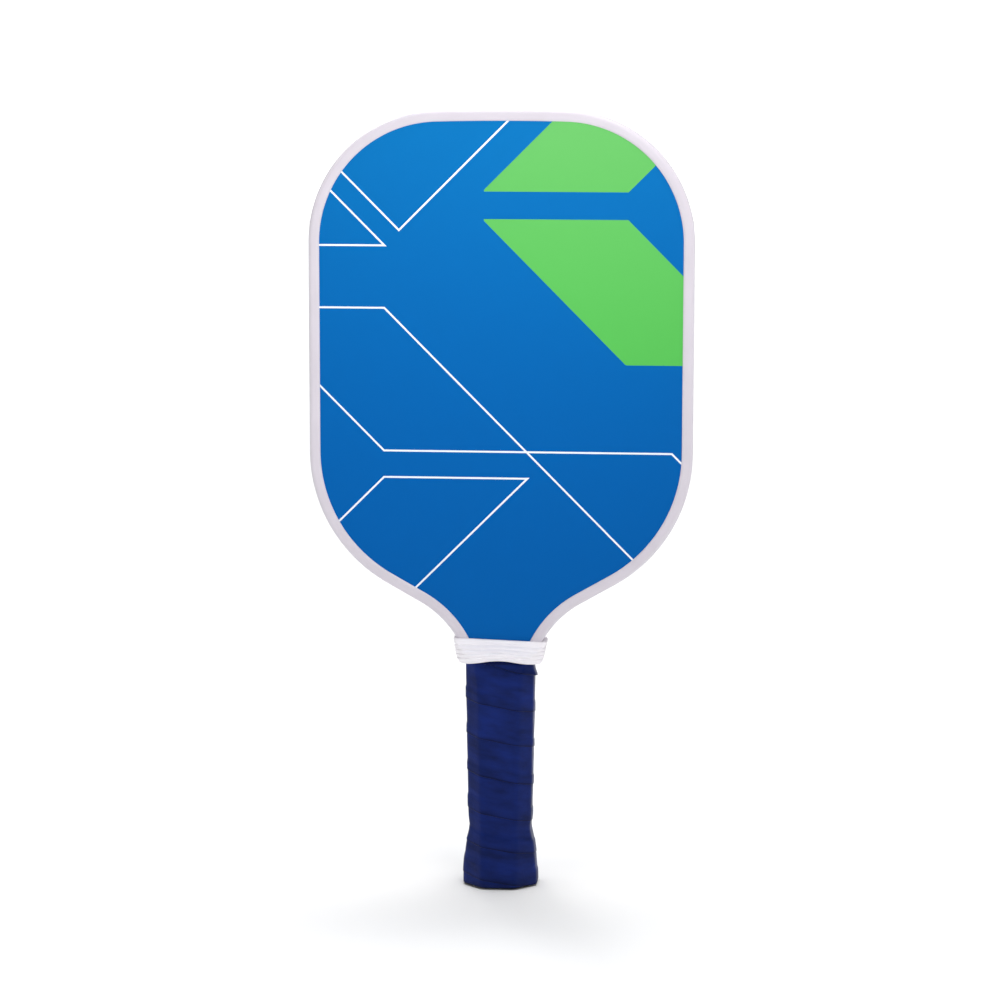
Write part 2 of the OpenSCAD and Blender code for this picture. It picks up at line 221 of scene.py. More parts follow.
def synthetic_leather():
    """Polyurethane grip strip: navy skin over felt. A leather grain of 1 mm pebbles, creases
    pulled out along the strip by the winding, and streaks about 6 by 18 mm where the skin is
    stretched or rubbed. Near both edges of the strip the skin is darkened with painted shade, for the
    shadow lines along the seams."""
    shader = {"IOR": 1.48, "Roughness": 0.42, "Specular IOR Level": 0.08}
    material, tree, place = new_material("polyurethane synthetic leather", shader)
    strip = add(tree, "ShaderNodeUVMap", {}, uv_map="strip")
    lengthwise = add(tree, "ShaderNodeMapping", {"Vector": strip, "Scale": (1 / 9, 1, 1)})
    cells = {"Vector": place, "Scale": per_mm(1.0), "Randomness": 0.9}
    pebbles = add(tree, CELLS, cells, feature="SMOOTH_F1")
    pulled = {"Vector": lengthwise, "Scale": per_mm(3.2), "Detail": 4, "Roughness": 0.55}
    creases = add(tree, NOISE, pulled)
    shorter = add(tree, "ShaderNodeMapping", {"Vector": strip, "Scale": (1 / 3, 1, 1)})
    rubbed = {"Vector": shorter, "Scale": per_mm(6), "Detail": 4, "Roughness": 0.55}
    streaks = add(tree, NOISE, rubbed)
    tone = add(tree, RANGE, {"Value": streaks, "From Min": 0.32, "From Max": 0.68})
    seam_shade = add(tree, "ShaderNodeAttribute", {}, "Fac", attribute_name="edge")
    navy = {SHARE: tone, FIRST: colour("0b1a4c"), SECOND: colour("12266b")}
    skin = add(tree, MIX, navy, data_type="RGBA")
    # Painted shade: the skin darkens to 090e2b towards both edges of the strip, for the shadow lines
    # along the seams
    seam_shaded = {SHARE: seam_shade, FIRST: skin, SECOND: colour("090e2b")}
    folds = add(tree, BUMP, {"Height": creases, "Distance": 0.35 * MM})
    feed(tree, {
        "Base Color": add(tree, MIX, seam_shaded, data_type="RGBA"),
        "Roughness": add(tree, RANGE, {"Value": creases, "To Min": 0.34, "To Max": 0.52}),
        "Normal": add(tree, BUMP, {"Height": pebbles, "Distance": 0.06 * MM, "Normal": folds}),
    })
    return material


def moulded_rubber():
    """Injection-moulded white rubber collar: soft satin, with a fine bloom of 0.5 mm grain and
    a trace of grey where dust stays, about 4 mm across."""
    material, tree, place = new_material("moulded white rubber", {"IOR": 1.52, "Roughness": 0.5})
    dust = add(tree, NOISE, {"Vector": place, "Scale": per_mm(4), "Detail": 4, "Roughness": 0.6})
    grain = add(tree, NOISE, {"Vector": place, "Scale": per_mm(0.5), "Detail": 2})
    white = {SHARE: dust, FIRST: colour("eae6ec"), SECOND: colour("f3f0f4")}
    feed(tree, {
        "Base Color": add(tree, MIX, white, data_type="RGBA"),
        "Roughness": add(tree, RANGE, {"Value": dust, "To Min": 0.44, "To Max": 0.56}),
        "Normal": add(tree, BUMP, {"Height": grain, "Distance": 0.02 * MM}),
    })
    return material


def spark_abs(name, low, high, roughness):
    """Injection-moulded ABS from a spark-eroded mould: an even stipple, drawn at 0.6 mm so that
    it shows, and faint flow marks about 12 mm across."""
    material, tree, place = new_material(name, {"IOR": 1.53, "Roughness": roughness})
    stipple = add(tree, NOISE, {"Vector": place, "Scale": per_mm(0.6), "Detail": 2})
    flow = add(tree, NOISE, {"Vector": place, "Scale": per_mm(12), "Detail": 3})
    gloss = {"Value": flow, "To Min": roughness - 0.06, "To Max": roughness + 0.06}
    dark = {SHARE: flow, FIRST: colour(low), SECOND: colour(high)}
    feed(tree, {
        "Base Color": add(tree, MIX, dark, data_type="RGBA"),
        "Roughness": add(tree, RANGE, gloss),
        "Normal": add(tree, BUMP, {"Height": stipple, "Distance": 0.05 * MM}),
    })
    return material


def inner_material(name, low, high, roughness, pattern, size, depth, shader=()):
    """A piece that the others cover. Its pattern is of cells, crossed threads or a cloud of this
    size in millimetres, and stands this deep."""
    material, tree, place = new_material(name, {"Roughness": roughness, **dict(shader)})
    if pattern == "cell":
        height = add(tree, CELLS, {"Vector": place, "Scale": per_mm(size)})
    elif pattern == "weave":
        threads = {"Vector": place, "Scale": per_mm(size) / 20}
        across = add(tree, "ShaderNodeTexWave", threads, "Fac", bands_direction="X")
        up = add(tree, "ShaderNodeTexWave", threads, "Fac", bands_direction="Z")
        height = add(tree, MATH, {0: across, 1: up}, operation="MAXIMUM")
    else:
        height = add(tree, NOISE, {"Vector": place, "Scale": per_mm(size), "Detail": 3})
    shade = {SHARE: height, FIRST: colour(low), SECOND: colour(high)}
    feed(tree, {
        "Base Color": add(tree, MIX, shade, data_type="RGBA"),
        "Normal": add(tree, BUMP, {"Height": height, "Distance": depth * MM}),
    })
    return material


# Each ink's first colour is its painted shade at the throat, and its second the painted light at the
# crown
BLUE = printed_film("matt printed film", "0059a4", "0870b3")
GREEN = printed_film("green screen ink", "4db54c", "69ba66")
WHITE = printed_film("white screen ink", "e6ecf4", "f2f6fb")
GUARD = extruded_tpu()
GRIP = synthetic_leather()
COLLAR = moulded_rubber()
CAP = spark_abs("black ABS", "0d0d10", "17171b", 0.5)
PLUG = spark_abs("dark grey ABS", "26262b", "33333a", 0.38)
TAPE = inner_material(
    "navy vinyl tape", "0c1540", "121d55", 0.5, "noise", 2, 0.03, {"Specular IOR Level": 0.1}
)

# The covered pieces: nodes, then the material's name, its two colours and roughness, its pattern,
# the pattern's size and depth, and whatever else the shader needs
COVERED = [
    (
        ["honeycomb_core"],
        "extruded polypropylene", "d4d6cf", "e8eae2", 0.45, "noise", 5, 0.1,
        {"IOR": 1.49, "Transmission Weight": 0.15},
    ),
    (
        ["front_bond_film", "back_bond_film"],
        "hot-melt film", "cdbb86", "e2d4a4", 0.4, "noise", 8, 0.05,
    ),
    (
        ["front_face_sheet", "back_face_sheet"],
        "fibreglass laminate", "33393c", "4d565a", 0.35, "weave", 1.6, 0.06,
        {"IOR": 1.54},
    ),
    (
        ["edge_guard_tape"],
        "closed-cell foam tape", "1b1b1d", "2b2b2e", 0.8, "cell", 0.5, 0.08,
    ),
    (
        ["front_pallet", "back_pallet"],
        "rigid polyurethane foam", "b0895a", "cda878", 0.7, "cell", 0.8, 0.1,
    ),
    (
        ["front_pallet_tape", "back_pallet_tape"],
        "double-sided tape", "d9cfae", "ece4c8", 0.5, "noise", 3, 0.03,
    ),
    (
        ["butt_cap_staples"],
        "galvanised wire", "a9adb2", "cdd1d6", 0.35, "noise", 0.6, 0.02,
        {"Metallic": 1.0},
    ),
]


def dress(names, material):
    """Gives CAD nodes a material in place of their plain one."""
    for name in names:
        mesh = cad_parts[name].data
        mesh.materials.clear()
        mesh.materials.append(material)


for covered, *look in COVERED:
    dress(covered, inner_material(*look))
dress(["front_printed_film", "back_printed_film"], BLUE)

# ---------------------------------------------------------------------------
# The outline of the head
# ---------------------------------------------------------------------------

guard_low, guard_high = node_box("edge_guard")
HALF_WIDTH = guard_high[0]
TOP = guard_high[2]
GUARD_END = guard_low[2]
GUARD_DEPTH = guard_high[1]            # from the middle of the panel to the outside of a lip
FILM_DEPTH = node_box("back_printed_film")[1][1]
CROWN_R = 1200.0
CORNER_R = 67.0
SHOULDER_R = 78.4
SHOULDER_TURN = math.radians(60.4)     # how far each shoulder turns before its straight flank
NECK_R = 51.9
NECK_X = 15.4                          # half width where the neck meets the handle
NECK_Z = 104.3


def outline_arcs():
    """Centre, radius, first and last angle, and count of points of the right side's arcs, from
    the neck up. The angle is that of the outward normal, so the hollow neck has a negative
    radius, and the straight stretches are what joins one arc to the next."""
    along = np.array([math.sin(SHOULDER_TURN), math.cos(SHOULDER_TURN)])
    out = np.array([math.cos(SHOULDER_TURN), -math.sin(SHOULDER_TURN)])
    run = HALF_WIDTH - NECK_X - (SHOULDER_R + NECK_R) * (1 - math.cos(SHOULDER_TURN))
    neck = np.array([NECK_X + NECK_R, NECK_Z])
    shoulder = neck + run / math.sin(SHOULDER_TURN) * along - (NECK_R + SHOULDER_R) * out
    corner_x = HALF_WIDTH - CORNER_R
    rise = math.sqrt((CROWN_R - CORNER_R) ** 2 - corner_x**2)
    crown = np.array([0.0, TOP - CROWN_R])
    corner = crown + [corner_x, rise]
    lean = math.atan2(rise, corner_x)
    start = -math.asin((GUARD_END - NECK_Z) / NECK_R)
    return [
        (neck, -NECK_R, start, -SHOULDER_TURN, 28),
        (shoulder, SHOULDER_R, -SHOULDER_TURN, 0.0, 48),
        (corner, CORNER_R, 0.0, lean, 64),
        (crown, CROWN_R, lean, math.pi / 2, 20),
    ]


def outline():
    """Arc centres, radii and outward normals along the edge, from its right end to its left."""
    centres, radii, normals = [], [], []
    for centre, radius, first, last, count in outline_arcs():
        angle = np.linspace(first, last, count)
        centres.append(np.tile(centre, (count, 1)))
        radii.append(np.full(count, radius))
        normals.append(np.stack([np.cos(angle), np.sin(angle)], axis=1))
    centres, radii, normals = map(np.concatenate, (centres, radii, normals))
    flip = np.array([-1.0, 1.0])
    return (
        np.concatenate([centres, centres[-2::-1] * flip]),
        np.concatenate([radii, radii[-2::-1]]),
        np.concatenate([normals, normals[-2::-1] * flip]),
    )


def carried(section):
    """A closed section of (distance out, depth) pairs carried along the outline: each point is
    centre + (radius + distance out) x normal, at its depth."""
    centres, radii, normals = outline()
    reach = radii[:, None] + section[None, :, 0]
    flat = centres[:, None] + reach[..., None] * normals[:, None]
    depth = np.broadcast_to(section[None, :, 1], reach.shape)
    return np.stack([flat[..., 0], depth, flat[..., 1]], axis=-1)


# ---------------------------------------------------------------------------
# Edge guard
# ---------------------------------------------------------------------------

LIP_WIDTH = 5.7
WEB = 1.0
GUARD_ROUND = 2.4                      # radius of the guard's outer corners


def guard_section():
    """The channel's section: a bevelled lip edge, a lip that crowns by a hair, a round outer
    corner and the web, then the same mirrored, and back along the inside of the channel."""
    turn = np.linspace(math.pi / 2, 0, 9)
    corner_out = -GUARD_ROUND + GUARD_ROUND * np.cos(turn)
    corner_depth = GUARD_DEPTH - GUARD_ROUND + GUARD_ROUND * np.sin(turn)
    lip = [
        (-LIP_WIDTH, FILM_DEPTH),
        (-LIP_WIDTH + 0.05, FILM_DEPTH + 0.25),
        (-LIP_WIDTH + 0.35, FILM_DEPTH + 0.52),
        (-LIP_WIDTH + 0.9, GUARD_DEPTH - 0.1),
        (-LIP_WIDTH + 1.6, GUARD_DEPTH - 0.02),
    ]
    half = np.concatenate([lip, np.stack([corner_out, corner_depth], axis=1)])
    half = np.concatenate([half, [(0.0, 2.0)]])
    front = half * [1, -1]
    inside = [(-WEB, FILM_DEPTH - 0.02), (-WEB, -FILM_DEPTH + 0.02)]
    return np.concatenate([front, half[::-1], inside])


def edge_guard():
    """The guard as one channel, carried round the head from one end of the collar to the other."""
    section = guard_section()
    points = carried(section)
    faces = tube_faces(len(points), len(section))
    make_piece("edge_guard_channel", points, faces, GUARD, ["edge_guard"])


# ---------------------------------------------------------------------------
# Printed pattern
# ---------------------------------------------------------------------------

INK = 0.04                             # thickness of the ink, drawn thick enough to stay clear
INK_STEP = 0.1                         # how much thicker each white line is than the one before
LINE = 0.95
UNDER_LIP = 3.0                        # how far from the outer edge the print stops, under a lip
PRINT_MIDDLE = (0.0, 265.0)
PRINT_TURN = math.radians(-0.2)        # the print sits this much off the outline, as it often does
SIDE = HALF_WIDTH - UNDER_LIP

# White lines as corner points, every slanted run at 45 degrees
WHITE_LINES = [
    [(-83.3, 372.0), (-52.2, 340.9), (5.5, 398.6)],
    [(-88.7, 362.2), (-59.6, 333.1), (-SIDE, 333.1)],
    [(-SIDE, 301.3), (-59.7, 301.3), (71.0, 170.6)],
    [(-95.0, 263.2), (-59.8, 228.0), (88.0, 228.0), (94.8, 221.2)],
    [(-84.6, 189.5), (-59.8, 214.3), (14.1, 214.3), (-44.9, 155.3)],
]
GREEN_LEFT = -9.7
GREEN_RIGHT = 64.5
UPPER_GREEN_Z = 360.7
LOWER_GREEN_TOP = 346.8
LOWER_GREEN_FOOT = 273.1


def on_face(flat, side, ink):
    """Flat (x, z) points as two layers on a face: on the film, and one ink thickness above it.
    The back print is the front one turned half round the paddle's length."""
    cosine, sine = math.cos(PRINT_TURN), math.sin(PRINT_TURN)
    turn = np.array([[cosine, sine], [-sine, cosine]])
    flat = (np.asarray(flat) - PRINT_MIDDLE) @ turn + PRINT_MIDDLE
    layers = []
    for depth in (FILM_DEPTH, FILM_DEPTH + ink):
        y = np.full(flat.shape[:-1], side * depth)
        layers.append(np.stack([-side * flat[..., 0], y, flat[..., 1]], axis=-1))
    return layers


def bars(low, high, side, ink=INK):
    """Rings of four points: each pair of low and high points on the film and on the ink's top."""
    (low_in, low_out), (high_in, high_out) = on_face(low, side, ink), on_face(high, side, ink)
    return np.stack([low_in, low_out, high_out, high_in], axis=1)


def stroke_rings(corners, side, ink):
    """A line of even width along corner points: at each corner the two edges stand off along the
    mitre, which is the sum of the runs' normals, scaled so that the width stays the same."""
    corners = np.array(corners)
    runs = np.diff(corners, axis=0)
    runs /= np.linalg.norm(runs, axis=1)[:, None]
    normals = np.stack([-runs[:, 1], runs[:, 0]], axis=1)
    normals = np.concatenate([normals[:1], normals, normals[-1:]])
    mitre = normals[:-1] + normals[1:]
    mitre *= (LINE / np.einsum("ij,ij->i", mitre, mitre))[:, None]
    return bars(corners - mitre, corners + mitre, side, ink)


def top_edge(x):
    """Height of the print's upper limit under the lip at each x."""
    centres, radii, normals = outline()
    edge = centres + (radii - UNDER_LIP)[:, None] * normals
    edge = edge[edge[:, 1] > UPPER_GREEN_Z - 20][::-1]
    return np.interp(x, edge[:, 0], edge[:, 1])


def panel_rings(x, low, high, side):
    """A panel between a lower and an upper edge, both functions of x, as a row of bars."""
    keep = high(x) > low(x) + 0.01
    x = x[keep]
    return bars(np.stack([x, low(x)], axis=1), np.stack([x, high(x)], axis=1), side)


def green_rings(side):
    """Both green panels. Their slanted edges run at 45 degrees, and the guard trims the rest."""
    x = np.unique(np.append(np.linspace(GREEN_LEFT, SIDE, 120), GREEN_RIGHT))
    upper = panel_rings(
        x,
        lambda x: UPPER_GREEN_Z + np.maximum(x - GREEN_RIGHT, 0),
        lambda x: np.minimum(UPPER_GREEN_Z + x - GREEN_LEFT, top_edge(x)),
        side,
    )
    lower = panel_rings(
        x,
        lambda x: np.maximum(LOWER_GREEN_TOP - (x - GREEN_LEFT), LOWER_GREEN_FOOT),
        lambda x: LOWER_GREEN_TOP - np.maximum(x - GREEN_RIGHT, 0),
        side,
    )
    return [upper, lower]


def joined(parts):
    """Several runs of rings as one mesh's points and faces, each run closed at both ends."""
    points, faces, start = [], [], 0
    for rings in parts:
        count, around = rings.shape[:2]
        flat = rings.reshape(-1, 3)
        own = tube_faces(count, around)
        if volume(flat, own) < 0:
            own = [face[::-1] for face in own]
        points.append(flat)
        faces += [[start + k for k in face] for face in own]
        start += count * around
    return np.concatenate(points), faces


def printed_pattern():
    """White lines and green panels on either face, over the film's blue ground."""
    for place, side in (("front", -1), ("back", 1)):
        # The steps in thickness keep two lines' tops from lying level where the lines cross
        lines = [
            stroke_rings(corners, side, INK * (1 + INK_STEP * count))
            for count, corners in enumerate(WHITE_LINES)
        ]
        points, faces = joined(lines)
        make_piece(place + "_white_lines", points, faces, WHITE)
        points, faces = joined(green_rings(side))
        make_piece(place + "_green_panels", points, faces, GREEN)


# ---------------------------------------------------------------------------
# Handle sections
# ---------------------------------------------------------------------------

CORNER_POWER = 34                      # higher makes the octagon's corners sharper
cap_size = np.subtract(*node_box("butt_cap")[::-1])
CAP_HEIGHT = cap_size[2]
PALLET_LOW = (29.6, 26.6, 6.5)         # width, depth and chamfer of the pallets at the cap
PALLET_HIGH = (32.4, 26.6, 6.5)        # and where they start to thin
PALLET_TOP = (32.8, 21.1, 4.0)
CAP_WIDEST = (cap_size[0], cap_size[1], 9.8)
PALLET_BEVEL_Z = 106.0
PALLET_TOP_Z = 122.0

# Height, and how much of the cap's flare is reached there
FLARE = [(0.0, 0.96), (5.0, 1.0), (14.0, 0.78), (23.5, 0.38)]


def handle_stations():
    """Heights and (width, depth, chamfer) rows of the bare handle, from the butt up."""
    low, widest = np.array(PALLET_LOW), np.array(CAP_WIDEST)
    rows = [(z, *(low + share * (widest - low))) for z, share in FLARE]
    rows += [(CAP_HEIGHT, *PALLET_LOW), (PALLET_BEVEL_Z, *PALLET_HIGH), (PALLET_TOP_Z, *PALLET_TOP)]
    return np.array(rows)


def handle_at(z, blur=0.0):
    """Reach of the wide, deep and slanted sides of the handle at each height. A blur averages
    over that many millimetres up and down, as a strip bridges a hollow."""
    stations = handle_stations()
    heights = [z + blur * k for k in (-1, -0.5, 0, 0.5, 1)]
    width, depth, chamfer = (
        np.mean([np.interp(h, stations[:, 0], column) for h in heights], axis=0)
        for column in stations.T[1:]
    )
    return width / 2, depth / 2, ((width + depth) / 2 - chamfer) / math.sqrt(2)


def octagon(angle, wide, deep, slanted, out=0.0, power=CORNER_POWER):
    """Distance from the axis to a rounded octagon. Each side pushes in by (cosine to its normal)
    / (its reach), and the power mean of the pushes rounds the corners."""
    push = 0.0
    for side, reach in enumerate([wide, slanted, deep, slanted] * 2):
        facing = np.maximum(np.cos(angle - side * math.pi / 4), 0)
        push = push + (facing / (reach + out)) ** power
    return push ** (-1 / power)


def around_axis(angle, radius, z):
    """Points at a distance from the Z axis."""
    return np.stack([radius * np.cos(angle), radius * np.sin(angle), z], axis=-1)


# ---------------------------------------------------------------------------
# Grip: a strip wound in a spiral, each turn lying over the top edge of the one below
# ---------------------------------------------------------------------------

STRIP_WIDTH = 24.0
STRIP_T = 1.55
SKIVED_T = 0.3                         # thickness left at the strip's thinned edges
LAST_EDGE_T = 1.2                      # the last turn's lower edge isn't thinned so far,
LAST_EDGE_FROM = 6.45                  # from this turn on,
LAST_EDGE_RAMP = 0.25                  # and thickens over this part of a turn
STRIP_START, STRIP_END = -0.62, 7.3    # in turns from the middle of the front
END_TAPER = 0.05                       # the part of a turn over which the strip's ends thin out
STRIP_FOOT = node_box("grip_wrap")[0][2]
STRIP_TOP = node_box("grip_wrap")[1][2] + 1.5
LEAST_WIDTH = 2.0                      # left of the strip where its upper end is cut level
ROUNDING = 0.5                         # radius of the strip's edges
EDGE_SHARE = 0.25                      # share of the thickness that is left at the very edge
EDGE_FALL = 0.6                        # how far past an edge the turn above it comes down
SEAM_SHADE_REACH = 0.7                        # how far the painted shade along an edge reaches
BRIDGE = 2.0                           # how far up and down the strip bridges a change of section
WAIST_DEPTH = 0.45                     # the dip just above the cap, pulled in by the winding
WAIST_UP = 3.0                         # from the cap's top to the middle of the dip
WAIST_SPREAD = 3.5
FRONT = -math.pi / 2

# Unevenness of the felt under the skin: size, waves round the handle, radians a millimetre, start
RIPPLES = [(0.04, 7, 0.35, 0.0), (0.05, 3, -0.22, 1.3)]

# Distances across the strip from its lower edge, closer together at both margins
ACROSS = np.array([
    0, 0.12, 0.35, 0.8, 1.6, 2.6, 3.6, 4.6, 5.6, 6.6, 7.6,
    9, 11, 13, 15, 17, 19, 21, 22.6, 23.6, 24,
])

# Height at which each turn's lower edge crosses the middle of the front, from turn -1 to turn 8
TURN_HEIGHTS = [-29.0, -12.5, 3.4, 20.7, 37.7, 57.7, 77.8, 95.8, 115.0, 150.0]


def spiral(turn):
    """Height of the strip's lower edge, a mean over 0.7 of a turn so that it has no kink."""
    steps = np.linspace(-0.35, 0.35, 15)
    count = np.arange(len(TURN_HEIGHTS)) - 1
    return np.mean([np.interp(turn + step, count, TURN_HEIGHTS) for step in steps], axis=0)


def overlap(turn):
    """How far the turn's lower margin lies over the turn below, which is also how wide both
    margins are thinned there, so that the two together stay as thick as the strip."""
    return spiral(turn - 1) + STRIP_WIDTH - spiral(turn)


def strip_layer(turn, z):
    """Thickness of the strip's turn at a height: full in the middle, thinned over both margins,
    and falling to nothing just outside them."""
    above, below = z - spiral(turn), spiral(turn) + STRIP_WIDTH - z
    full = smoothstep(above / overlap(turn)) * smoothstep(below / overlap(turn + 1))
    last = smoothstep((turn - LAST_EDGE_FROM) / LAST_EDGE_RAMP) * (above < STRIP_WIDTH / 2)
    thin = SKIVED_T + (LAST_EDGE_T - SKIVED_T) * last
    thick = thin + (STRIP_T - thin) * full
    return thick * smoothstep(np.minimum(above, below) / EDGE_FALL + 1)


def strip_rings(per_turn):
    """Rings across the strip along the winding, and how far each point is from an edge. The
    strip's inner side lies on whatever layer of the turn below is there, and its outer side one
    layer further out."""
    turn = np.arange(STRIP_START, STRIP_END, 1 / per_turn)[:, None]
    low = np.clip(spiral(turn), STRIP_FOOT, STRIP_TOP - LEAST_WIDTH)
    high = np.minimum(spiral(turn) + STRIP_WIDTH, STRIP_TOP)
    z = low + (high - low) * ACROSS / STRIP_WIDTH
    angle = FRONT - 2 * math.pi * turn + 0 * z
    below = strip_layer(turn - 1, z) * smoothstep((turn - 1 - STRIP_START) / END_TAPER)
    from_edge = np.minimum(z - low, high - z)
    rounded = np.sqrt(1 - (1 - np.clip(from_edge / ROUNDING, 0, 1)) ** 2)
    layer = strip_layer(turn, np.maximum(z, spiral(turn) + 0.01))
    layer = layer * (EDGE_SHARE + (1 - EDGE_SHARE) * rounded)
    wide, deep, slanted = handle_at(z, BRIDGE)
    waist = np.exp(-(((z - CAP_HEIGHT - WAIST_UP) / WAIST_SPREAD) ** 2))
    ripple = sum(
        size * np.sin(waves * angle + climb * z + start) for size, waves, climb, start in RIPPLES
    )
    inner = octagon(angle, wide, deep, slanted, below)
    outer = octagon(angle, wide, deep, slanted, below + layer - WAIST_DEPTH * waist) + ripple * rounded
    rings = [around_axis(angle, outer, z), around_axis(angle, inner, z)[:, ::-1]]
    return np.concatenate(rings, axis=1), np.concatenate([from_edge, from_edge[:, ::-1]], axis=1)


def strip_coordinates(rings):
    """Place on the unrolled strip: metres along its middle, by summing the steps, and metres
    across it from the lower edge."""
    count = rings.shape[1]
    middle = rings[:, count // 4]
    steps = np.linalg.norm(np.diff(middle, axis=0), axis=1)
    along = np.concatenate([[0.0], np.cumsum(steps)])[:, None] + np.zeros(count)
    across = np.linalg.norm(rings - rings[:, :1], axis=2)
    return np.stack([along, across], axis=-1) * MM


def grip():
    """The wound strip, with its flat coordinates as UVs and its closeness to an edge as "edge",
    which falls by 1/e for each SEAM_SHADE_REACH millimetres and sets where the material paints shade
    along the seams."""
    rings, from_edge = strip_rings(per_turn=150)
    count, around = rings.shape[:2]
    faces = tube_faces(count, around)
    piece = make_piece("grip_strip", rings, faces, GRIP, ["grip_wrap"], crease=50)
    mesh = piece.data
    corner = np.zeros(len(mesh.loops), int)
    mesh.loops.foreach_get("vertex_index", corner)
    flat = strip_coordinates(rings)
    mesh.uv_layers.new(name="strip").data.foreach_set("uv", flat.reshape(-1, 2)[corner].ravel())
    edge = mesh.attributes.new("edge", "FLOAT", "POINT")
    edge.data.foreach_set("value", np.exp(-from_edge.ravel() / SEAM_SHADE_REACH).astype(np.float32))


TAPE_CLEARANCE = 0.05                  # between the strip and the tape
TAPE_OUT = 0.35                        # from the strip to the outside of the tape
LAST_TURNS = (5, 6, 7)                 # the turns whose layers can lie under the tape


def finishing_tape():
    """A band round the strip's upper end: a tape's thickness outside the sum of the layers that
    the strip's last turns have there."""
    low, high = node_box("grip_finishing_tape")
    around = np.linspace(0, 1, 360, endpoint=False)[:, None]
    z = np.linspace(low[2], high[2], 8)
    angle = FRONT - 2 * math.pi * around
    layers = 0.0
    for turn in LAST_TURNS:
        there = smoothstep((STRIP_END - around - turn) / END_TAPER)
        layers = layers + strip_layer(around + turn, z) * there
    rings = [
        around_axis(angle, octagon(angle, *handle_at(z, BRIDGE), layers + out), z + 0 * angle)
        for out in (TAPE_OUT, TAPE_CLEARANCE)
    ]
    rings = np.concatenate([rings[0], rings[1][:, ::-1]], axis=1)
    faces = quads(*rings.shape[:2], closed_rows=True, closed_columns=True)
    make_piece("finishing_tape_band", rings, faces, TAPE, ["grip_finishing_tape"])


# ---------------------------------------------------------------------------
# Collar
# ---------------------------------------------------------------------------

collar_low, collar_high = node_box("grip_collar")
COLLAR_HEIGHT = collar_high[2] - collar_low[2]
COLLAR_ARCH = 3.0                      # how far its lower edge arches up in the middle of a face
COLLAR_TILT = 0.03                     # how far its upper edge leans, per millimetre across
GROOVES = [2.8, 5.0, 7.1, 9.2, 11.2]   # from the upper edge down
GROOVE_DEPTH = 0.55
GROOVE_WIDTH = 0.42

# Share of the height, then half width, half depth and chamfer outside, and the wall there
COLLAR_STATIONS = np.array([
    (0.00, 19.4, 15.2, 8.6, 0.3),
    (0.02, 20.4, 15.8, 8.5, 0.9),
    (0.06, 21.4, 16.4, 8.4, 1.6),
    (0.13, 22.0, 16.9, 8.0, 2.0),
    (0.22, 22.4, 17.1, 7.6, 2.2),
    (0.40, 23.0, 16.4, 6.4, 2.2),
    (0.70, 23.7, 12.8, 3.0, 2.2),
    (0.90, 24.2, 10.2, 1.8, 2.2),
    (0.97, 24.3, 9.7, 1.6, 2.2),
    (1.00, 23.9, 9.2, 1.6, 1.9),
])


def collar_rings(around):
    """Rings from the lower edge up the outside, over the upper edge and down the inside. Between
    the arched lower edge and the leaning upper edge every line keeps its share of the height."""
    angle = np.linspace(0, 2 * math.pi, around, endpoint=False)[:, None]
    shares = np.unique(np.concatenate([np.linspace(0, 1, 81), COLLAR_STATIONS[:, 0]]))
    wide, deep, chamfer, wall = (
        np.interp(shares, COLLAR_STATIONS[:, 0], column) for column in COLLAR_STATIONS.T[1:]
    )
    from_top = (1 - shares) * COLLAR_HEIGHT
    grooves = sum(np.exp(-(((from_top - g) / GROOVE_WIDTH) ** 2)) for g in GROOVES)
    slanted = (wide + deep - chamfer) / math.sqrt(2)
    outer = octagon(angle, wide, deep, slanted, -GROOVE_DEPTH * grooves)
    inner = octagon(angle, wide, deep, slanted, -wall)
    low = collar_low[2] + COLLAR_ARCH * np.sin(angle) ** 2 * smoothstep(np.abs(np.sin(angle)))
    high = collar_high[2] - COLLAR_TILT * outer * np.cos(angle)
    z = low + (high - low) * shares
    outside, inside = around_axis(angle, outer, z), around_axis(angle, inner, z)
    return np.concatenate([outside, inside[:, ::-1]], axis=1)


def collar():
    """The ribbed sleeve, closed over both rims."""
    rings = collar_rings(around=360)
    count, section = rings.shape[:2]
    faces = quads(count, section, closed_rows=True, closed_columns=True)
    make_piece("collar_sleeve", rings, faces, COLLAR, ["grip_collar"])


# ---------------------------------------------------------------------------
# Butt cap and plug
# ---------------------------------------------------------------------------

plug_low, plug_high = node_box("butt_cap_plug")
PLUG_R = plug_high[0]
CAP_FLOOR = 3.0
CAP_WALL = 1.5

# The profile under the cap, from the ceiling of the plug's recess out to its rounded mouth
RECESS = [
    (2.0, plug_high[2]),
    (PLUG_R + 0.05, plug_high[2]),
    (PLUG_R + 0.05, 0.35),
    (PLUG_R + 0.17, 0.1),
    (PLUG_R + 0.40, 0.0),
]

# Height, and how far outside the handle's section: the cap's rounded foot, then its flare
CAP_FOOT = [(0.0, -1.4), (0.12, -0.6), (0.45, -0.12), (1.0, 0.0)]
CAP_FLARE = [(z, 0.0) for z in (3.0, 5.0, 8.0, 11.0, 14.0, 19.0, 23.5, 26.0, CAP_HEIGHT)]


def cap_rings(around):
    """From the ceiling of the plug's recess out under the cap, up the flare, over the rim and
    down the socket to its floor. Round in the recess and an octagon everywhere else."""
    angle = np.linspace(0, 2 * math.pi, around, endpoint=False)
    rows = [around_axis(angle, np.full(around, r), np.full(around, z)) for r, z in RECESS]
    for z, out in CAP_FOOT + CAP_FLARE:
        rows.append(around_axis(angle, octagon(angle, *handle_at(z), out), np.full(around, z)))
    socket = handle_at(CAP_HEIGHT)
    for z in (CAP_HEIGHT, CAP_FLOOR):
        rows.append(around_axis(angle, octagon(angle, *socket, -CAP_WALL), np.full(around, z)))
    rows.append(around_axis(angle, np.full(around, 2.0), np.full(around, CAP_FLOOR)))
    return np.array(rows)


